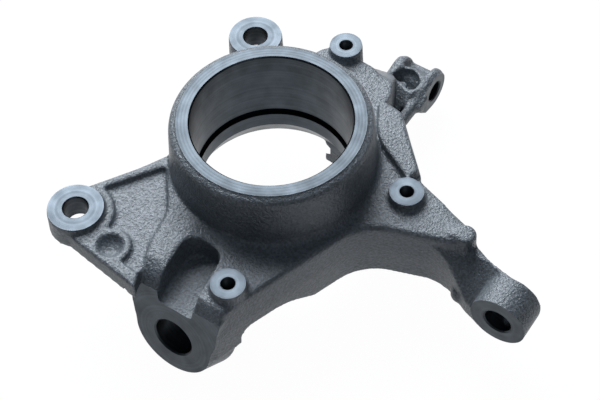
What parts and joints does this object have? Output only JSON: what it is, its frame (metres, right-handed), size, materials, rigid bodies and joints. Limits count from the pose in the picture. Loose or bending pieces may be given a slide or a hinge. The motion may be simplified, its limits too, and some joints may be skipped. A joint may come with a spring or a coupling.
{
  "type": "steering knuckle",
  "caption": "Cast front steering knuckle: a bearing barrel with caliper ears, ball joint lug, strut lug and a curved steering arm.",
  "frame": {"origin": "centre of the bearing bore at the machined rim face", "axes": "+Z along the bearing axis out of the open rim, +X towards the steering arm, +Y towards the strut lug"},
  "size_m": [0.2341, 0.2297, 0.088],
  "materials": {
    "cast_iron": "sand cast, shot blasted, with machined faces"
  },
  "bodies": {
    "root": {"knuckle": "cast_iron"}
  },
  "joints": []
}
